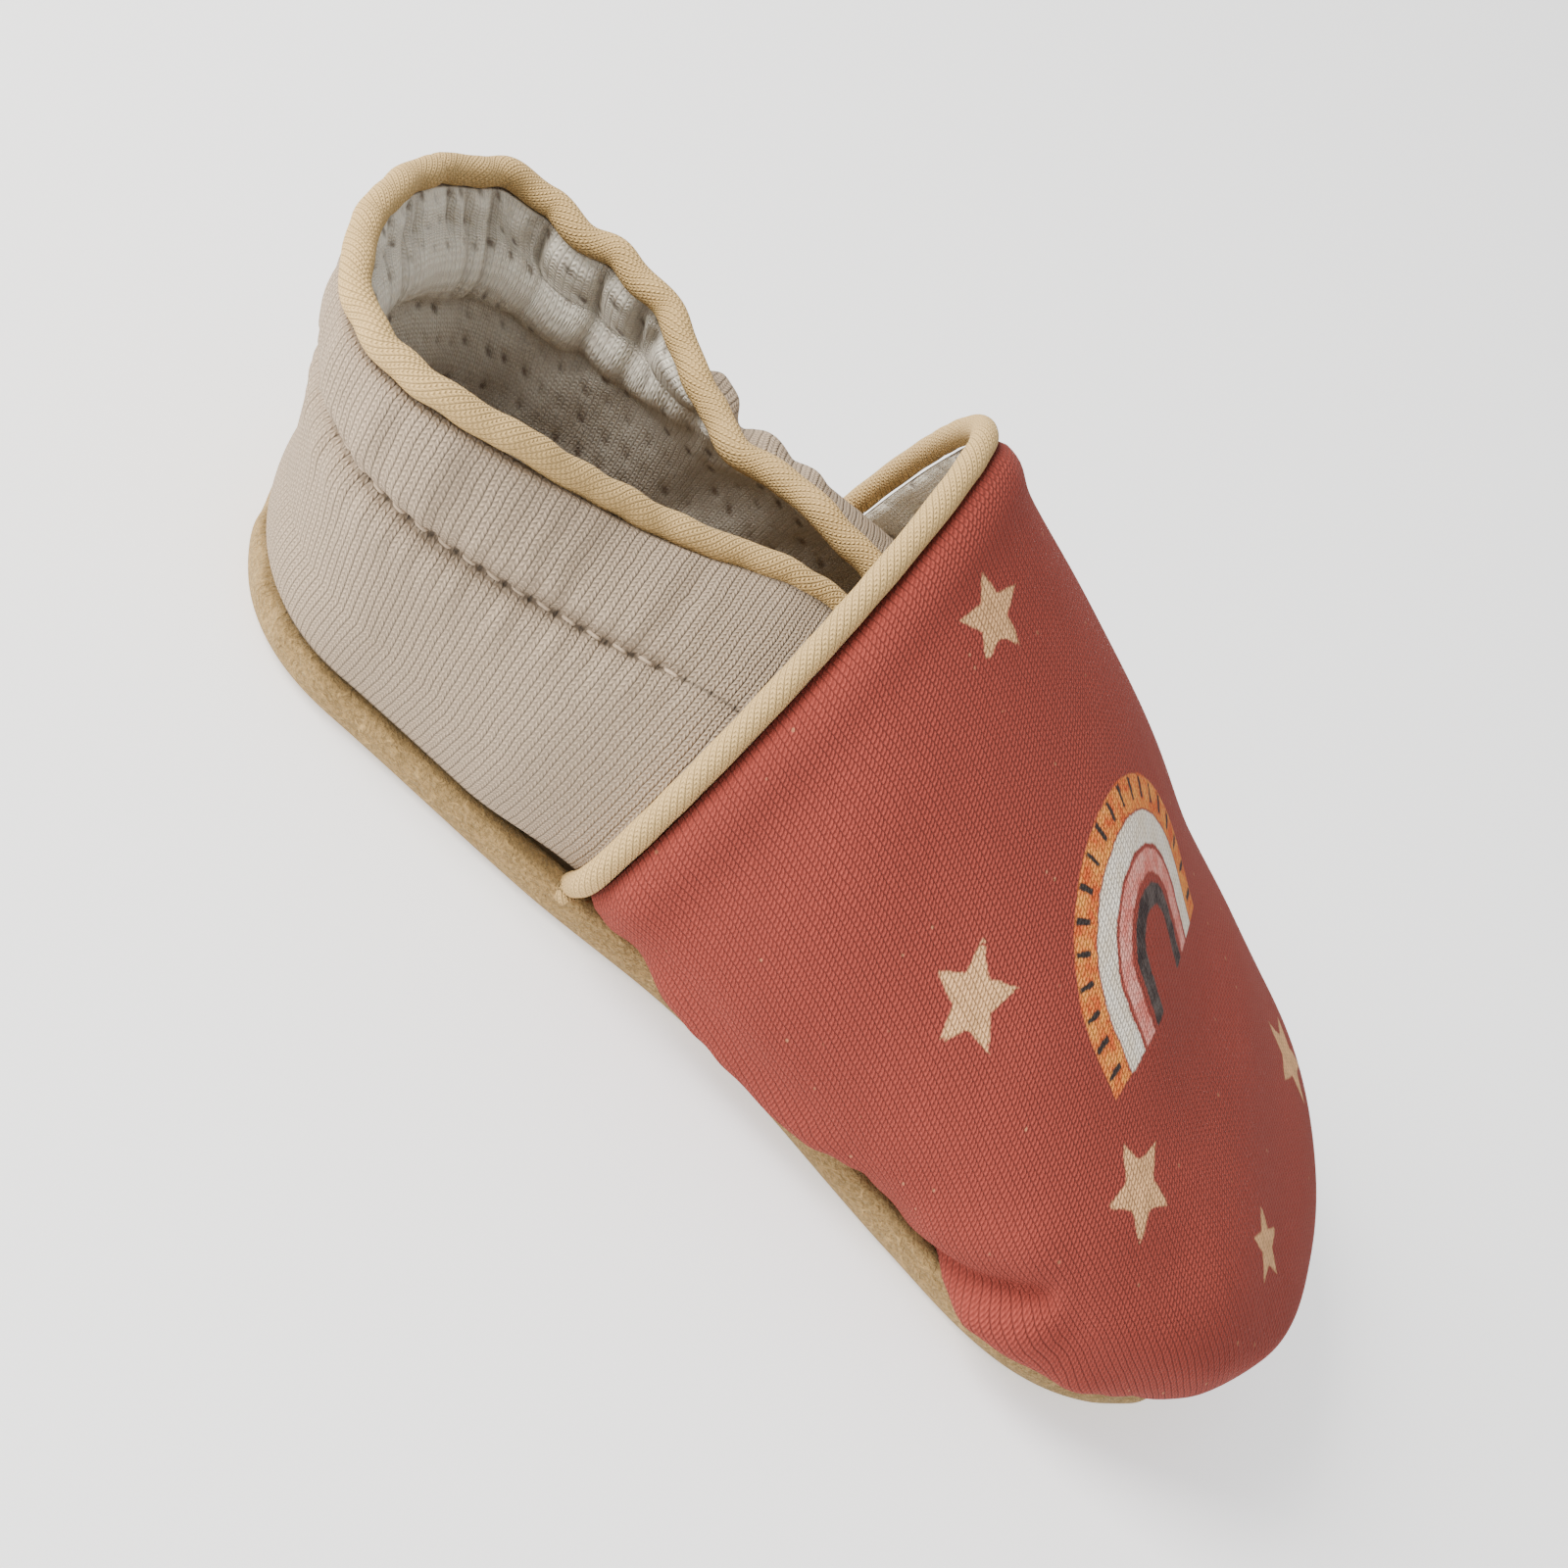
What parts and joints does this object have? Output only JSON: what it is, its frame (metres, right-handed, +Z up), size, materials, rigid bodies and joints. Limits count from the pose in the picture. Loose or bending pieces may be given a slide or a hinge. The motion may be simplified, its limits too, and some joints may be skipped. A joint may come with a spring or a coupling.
{
  "type": "baby slipper",
  "caption": "Soft-soled baby slipper for the left foot: suede sole, hooded jersey vamp, elasticated heel quarter and corded piping.",
  "frame": {"origin": "middle of the slipper's footprint, on the floor", "axes": "+X from heel to toe, +Y to the slipper's left (its outer side), +Z up"},
  "size_m": [0.1388, 0.074, 0.0551],
  "materials": {
    "suede": "matt napped suede",
    "footbed": "matt felted lining",
    "printed_jersey": "matt cotton jersey with a small print",
    "ribbed_jersey": "matt cotton jersey with fine ribs",
    "piping": "matt cotton jersey over cord",
    "lining": "matt quilted cotton jersey"
  },
  "bodies": {
    "root": {"sole": "suede", "footbed": "footbed", "vamp": "printed_jersey", "heel_quarter": "ribbed_jersey", "vamp_piping": "piping", "collar_piping": "piping"}
  },
  "joints": []
}
